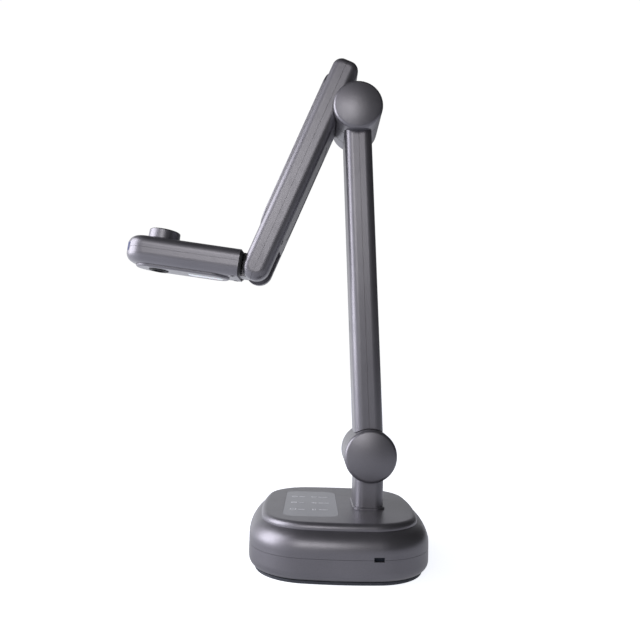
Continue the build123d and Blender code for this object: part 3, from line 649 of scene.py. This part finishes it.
def lensRing():
    inner, outer = lensShape["ringInner"], lensShape["ringOuter"]
    front, back = lensShape["ringFront"], lensShape["ringBack"]
    innerBevel, outerBevel = lensShape["ringBevelInner"], lensShape["ringBevelOuter"]
    profile = [
        (inner, -back), (inner, -front - innerBevel), (inner + innerBevel, -front),
        (outer - outerBevel, -front), (outer, -front - outerBevel), (outer, -back), (inner, -back),
    ]
    mesh = turnedMesh(profile, 60)
    seat = lensFrame(lensShape["level"])
    finishPiece(mesh, "lensRing", "turret", "black_steel", place=seat, stands=["lens_ring"])


lensElement()
lensRing()
print("lens done")


# Tinted window that wraps around the nose

noseBand = {
    "nose": -106 * mm, "corner": 16 * mm, "flat": 4.5 * mm, "turn": 44, "level": 2.2 * mm, "height": 7.0 * mm,
    "proud": 0.03 * mm, "thickness": 0.5 * mm,
}


def sweepCorner(mesh, face, middle):
    turned = bmesh.ops.spin(
        mesh, geom=[face], cent=middle, axis=(0, 1, 0), angle=-math.radians(noseBand["turn"]), steps=20,
    )
    return next(item for item in turned["geom_last"] if isinstance(item, bmesh.types.BMFace))


def noseWindow():
    mesh = bmesh.new()
    outer = noseBand["corner"] + noseBand["proud"]
    inner = outer - noseBand["thickness"]
    centre = Vector((noseBand["nose"] + noseBand["corner"], noseBand["level"], noseBand["flat"]))
    half = noseBand["height"] / 2
    lean = Matrix.Rotation(math.radians(noseBand["turn"]), 3, "Y")
    section = [(-outer, -half, 0), (-outer, half, 0), (-inner, half, 0), (-inner, -half, 0)]
    first = mesh.faces.new([mesh.verts.new(centre + lean @ Vector(point)) for point in section])
    last = sweepCorner(mesh, first, centre)
    raised = bmesh.ops.extrude_face_region(mesh, geom=[last])
    moved = [item for item in raised["geom"] if isinstance(item, bmesh.types.BMVert)]
    bmesh.ops.translate(mesh, vec=(0, 0, -2 * noseBand["flat"]), verts=moved)
    last = next(item for item in raised["geom"] if isinstance(item, bmesh.types.BMFace))
    sweepCorner(mesh, last, centre - Vector((0, 0, 2 * noseBand["flat"])))
    finishPiece(mesh, "noseWindow", "head", "window", place=frames["head"], stands=["nose_window"])


noseWindow()
print("nose window done")


# Contacts inside the data socket

contactRows = {"count": 12, "pitch": 0.5 * mm, "size": (0.26 * mm, 4.4 * mm, 0.05 * mm), "apart": 0.36 * mm}


def socketContacts():
    low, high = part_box("usb_socket")
    middle = (low + high) / 2
    size = contactRows["size"]
    mesh = bmesh.new()
    for index in range(contactRows["count"]):
        across = (index - (contactRows["count"] - 1) / 2) * contactRows["pitch"]
        for side in (-1, 1):
            place = (middle.x + across, low.y + size[1], middle.z + side * contactRows["apart"])
            made = bmesh.ops.create_cube(mesh, size=1.0)
            bmesh.ops.scale(mesh, vec=size, verts=made["verts"])
            bmesh.ops.translate(mesh, vec=place, verts=made["verts"])
    finishPiece(mesh, "socketContacts", "base", "steel", gold)


socketContacts()
print("socket done")


# Painted shade: a dark bluish sheet on the front of the lock slot's steel insert, standing in for the shade
# inside the slot

slotShadeSheet = {
    "opening": (7 * mm, 3 * mm), "overlap": 0.8 * mm, "thickness": 0.4 * mm,
    # colour of the painted shade in the slot
    "colour": (0.012, 0.018, 0.034, 1),
}


def slotShadeSheetPaint():
    desk = bench(bpy.data.materials.new("slotShadeSheet"))
    grain = desk.noise(0.4 * mm, 2.0)
    deep = slotShadeSheet["colour"]
    desk.set(
        colour=desk.blend(grain, deep, tuple(channel * 1.6 for channel in deep[:3]) + (1,)),
        rough=0.42 + grain * 0.1,
    )
    return desk.material


def lockSlotShadeSheet():
    slot = next(mount for mount in frame["record"]["mounts"] if mount["name"] == "lock_slot")
    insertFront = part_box("lock_slot_insert")[0].y
    width, height = (side + slotShadeSheet["overlap"] for side in slotShadeSheet["opening"])
    thickness = slotShadeSheet["thickness"]
    mesh = bmesh.new()
    made = bmesh.ops.create_cube(mesh, size=1.0)
    bmesh.ops.scale(mesh, vec=(width, thickness, height), verts=made["verts"])
    place = (slot["pos_m"][0], insertFront - thickness / 2, slot["pos_m"][2])
    bmesh.ops.translate(mesh, vec=place, verts=made["verts"])
    # the sheet stands in for the shade in the slot
    finishPiece(mesh, "lockSlotShadeSheet", "base", "black_steel", slotShadeSheetPaint())


lockSlotShadeSheet()
print("lock slot done")


# Floor, light and camera

floorPaper = {
    "halfSize": 6.0,
    "colour": (0.86, 0.86, 0.87, 1),
    "shaded": (0.24, 0.24, 0.26, 1),           # its colour to every ray but the camera's
    "glow": (0.93, 0.95, 1.0, 1),
    "seenGlow": 0.90,
    "depthFade": (-0.10, 0.30, 0.42, 0.72),    # from y, to y, glow in front, glow behind
    "nearFade": (-1.5, -0.7),                  # no glow before the first y, all of it from the second
    "leftFade": (-0.05, -0.45, 0.0, 0.45),     # from x, to x, glow added at each
}
worldLight = {
    "ambient": (0.95, 0.95, 1.0),
    "ambientPower": 0.025,
    "seenPower": 1.02,
    "ceiling": (0.60, 0.92, 1.0, 0.15),   # from height, to height, light below and light left above
    "lobes": (                            # direction, tightness, power, colour
        ((-0.35, 1.00, 0.02), 3.4, 0.90, (0.96, 0.97, 1.00)),    # white wall behind
        ((-1.00, 0.05, 0.10), 5.0, 1.75, (0.95, 0.94, 1.00)),    # large panel on the left
        ((-0.18, -0.94, 0.30), 22.0, 0.55, (1.00, 0.98, 0.93)),  # panel in front, above the camera
        ((-0.55, -0.60, 0.58), 8.0, 0.65, (0.97, 0.95, 1.00)),   # second panel, high on the left
        ((-0.50, -0.85, -0.20), 3.0, 0.16, (0.90, 0.92, 1.00)),  # the room in front
    ),
}
softBoxes = {
    "leftSoftBox": {
        "place": (-0.95, -0.12, 0.50), "target": (-0.03, 0.0, 0.12), "size": (0.75, 0.9), "power": 8.5,
        "colour": (0.97, 0.96, 1.0),
    },
    "frontSoftBox": {
        "place": (-0.22, -1.3, 0.70), "target": (0.0, 0.0, 0.15), "size": (0.6, 0.6), "power": 3.1,
        "colour": (1.0, 0.99, 0.96),
    },
}
cameraSetting = {
    "place": (-0.0223, -0.4738, 0.1400), "lens": 32.89, "sensor": 36.0, "nearest": 0.01,
    "pan": -0.008, "tilt": 0.092, "roll": 0.031,    # radians, away from level and facing +y
}


def studioFloor():
    mesh = bmesh.new()
    bmesh.ops.create_grid(mesh, x_segments=2, y_segments=2, size=floorPaper["halfSize"])
    data = bpy.data.meshes.new("studioFloor")
    mesh.to_mesh(data)
    mesh.free()
    floor = bpy.data.objects.new("studioFloor", data)
    bpy.context.collection.objects.link(floor)
    desk = bench(bpy.data.materials.new("floorPaper"))
    tone = desk.noise(0.4, 2.0)
    pale = floorPaper["colour"]
    spot = desk.node("ShaderNodeSeparateXYZ", None, {0: desk.place()}).outputs
    across, away = wire(desk, spot["X"]), wire(desk, spot["Y"])
    bounce = desk.range(away, *floorPaper["depthFade"]) * desk.range(away, *floorPaper["nearFade"])
    bounce = bounce + desk.range(across, *floorPaper["leftFade"])
    rays = wire(desk, desk.node("ShaderNodeLightPath").outputs["Is Camera Ray"])
    paper = desk.blend(tone, pale, tuple(channel * 1.03 for channel in pale[:3]) + (1,))
    desk.set(
        colour=desk.blend(rays, floorPaper["shaded"], paper),
        rough=0.9,
        specular=0.1,
        glow=floorPaper["glow"],
        glowPower=bounce + rays * (floorPaper["seenGlow"] - bounce),
    )
    data.materials.append(desk.material)


def softBox(name, setting):
    lamp = bpy.data.lights.new(name, "AREA")
    lamp.shape = "RECTANGLE"
    lamp.size, lamp.size_y = setting["size"]
    lamp.energy = setting["power"]
    lamp.color = setting["colour"]
    holder = bpy.data.objects.new(name, lamp)
    bpy.context.collection.objects.link(holder)
    gaze = Vector(setting["target"]) - Vector(setting["place"])
    holder.location = setting["place"]
    holder.rotation_euler = gaze.to_track_quat("-Z", "Y").to_euler()


def studioWorld():
    world = bpy.data.worlds.new("studioWorld")
    bpy.context.scene.world = world
    desk = bench(world)
    desk.tree.nodes.clear()
    gaze = desk.node("ShaderNodeTexCoord").outputs["Generated"]
    light = Vector(worldLight["ambient"]) * worldLight["ambientPower"]
    for towards, tightness, power, tint in worldLight["lobes"]:
        inputs = {0: gaze, 1: Vector(towards).normalized()}
        match = desk.node("ShaderNodeVectorMath", {"operation": "DOT_PRODUCT"}, inputs)
        match = wire(desk, match.outputs["Value"])
        share = match.work("MAXIMUM", match, 0.0) ** tightness * power
        glow = desk.node("ShaderNodeVectorMath", {"operation": "SCALE"}, {0: tint, "Scale": share}).outputs[0]
        light = desk.node("ShaderNodeVectorMath", {"operation": "ADD"}, {0: glow, 1: light}).outputs[0]
    height = wire(desk, desk.node("ShaderNodeSeparateXYZ", None, {0: gaze}).outputs["Z"])
    ceiling = desk.range(height, *worldLight["ceiling"])
    soft = desk.node("ShaderNodeBackground", None, {"Color": light, "Strength": ceiling})
    white = desk.node("ShaderNodeBackground", None, {"Strength": worldLight["seenPower"]})
    desk.feed(white.inputs["Color"], (1, 1, 1, 1))
    rays = desk.node("ShaderNodeLightPath").outputs["Is Camera Ray"]
    mixed = desk.node("ShaderNodeMixShader", None, {0: rays, 1: soft.outputs[0], 2: white.outputs[0]})
    desk.node("ShaderNodeOutputWorld", None, {"Surface": mixed.outputs[0]})


def studioCamera():
    camera = bpy.data.cameras.new("studioCamera")
    camera.lens = cameraSetting["lens"]
    camera.sensor_width = cameraSetting["sensor"]
    camera.clip_start = cameraSetting["nearest"]
    holder = bpy.data.objects.new("studioCamera", camera)
    bpy.context.collection.objects.link(holder)
    pan = Matrix.Rotation(cameraSetting["pan"], 4, "Z")
    tilt = Matrix.Rotation(math.pi / 2 + cameraSetting["tilt"], 4, "X")
    roll = Matrix.Rotation(cameraSetting["roll"], 4, "Z")
    holder.matrix_world = Matrix.Translation(cameraSetting["place"]) @ pan @ tilt @ roll
    bpy.context.scene.camera = holder


studioFloor()
studioWorld()
for name, setting in softBoxes.items():
    softBox(name, setting)
studioCamera()
bpy.context.scene.view_settings.view_transform = "Standard"
print("studio ready")
